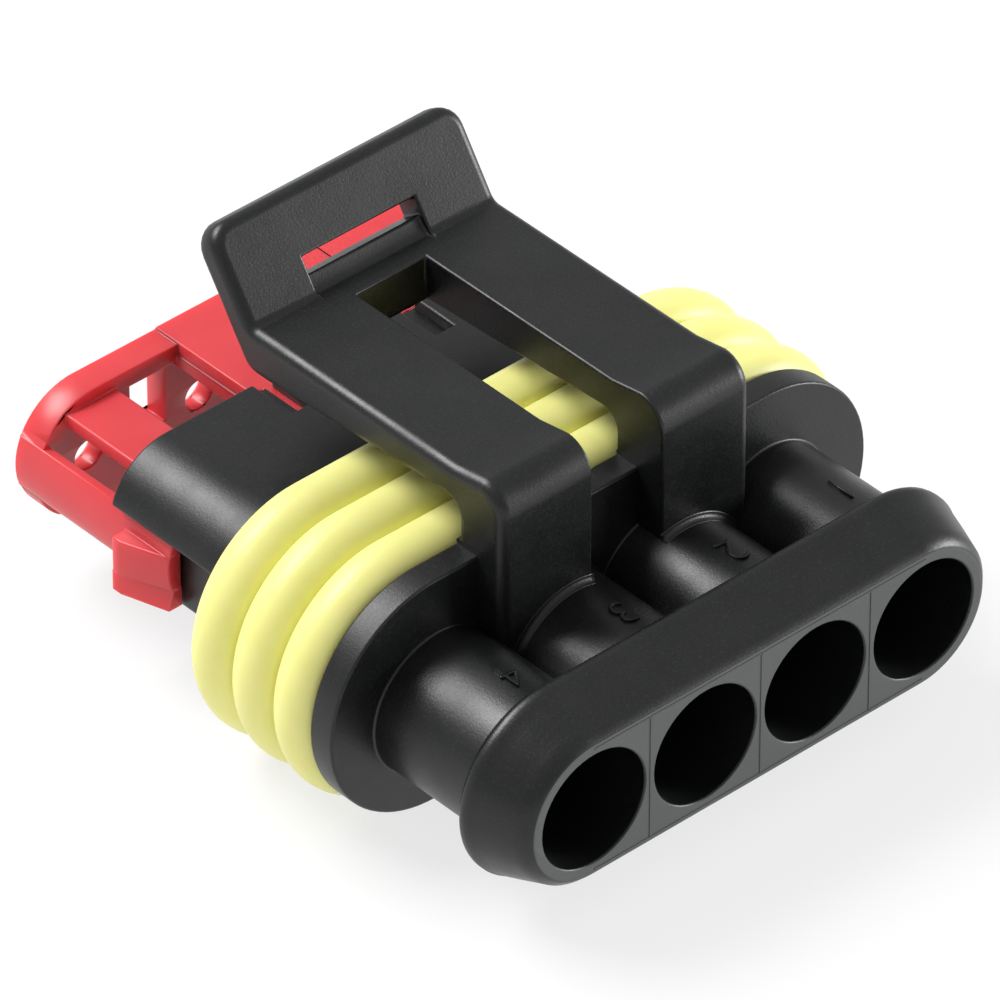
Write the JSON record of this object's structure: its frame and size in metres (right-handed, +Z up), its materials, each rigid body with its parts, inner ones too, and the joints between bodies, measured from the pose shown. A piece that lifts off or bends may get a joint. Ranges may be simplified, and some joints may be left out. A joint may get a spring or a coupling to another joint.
{
  "type": "sealed automotive connector plug housing",
  "caption": "Sealed wire-to-wire plug housing with a row of round wire cavities, a sprung latch, a lobed silicone face seal and a sliding secondary lock in pre-lock.",
  "frame": {"origin": "on the surface that the plug lies on, under the middle of its outer box", "axes": "+X along the row of cavities, +Y from the wire side to the mating side, +Z up to the latch"},
  "size_m": [0.03, 0.032, 0.0185],
  "materials": {
    "black_nylon": "glass-filled nylon, moulded, semi-matte black",
    "yellow_silicone": "satin silicone rubber, pale yellow",
    "red_polymer": "moulded red thermoplastic, slightly translucent, semi-gloss"
  },
  "bodies": {
    "housing": {"housing": "black_nylon", "interface_seal": "yellow_silicone"},
    "latch": {"latch_arm": "black_nylon"},
    "lock": {"secondary_lock": "red_polymer"}
  },
  "joints": [
    {"name": "latch_flex", "type": "hinge", "parent": "housing", "child": "latch", "pos_m": [0, -0.00808, 0.0116], "axis": [1, 0, 0], "range_deg": [0, 8], "stiffness_Nm_per_rad": 0.5},
    {"name": "lock_slide", "type": "slide", "parent": "housing", "child": "lock", "axis": [0, -1, 0], "range_m": [0, 0.0023]}
  ]
}
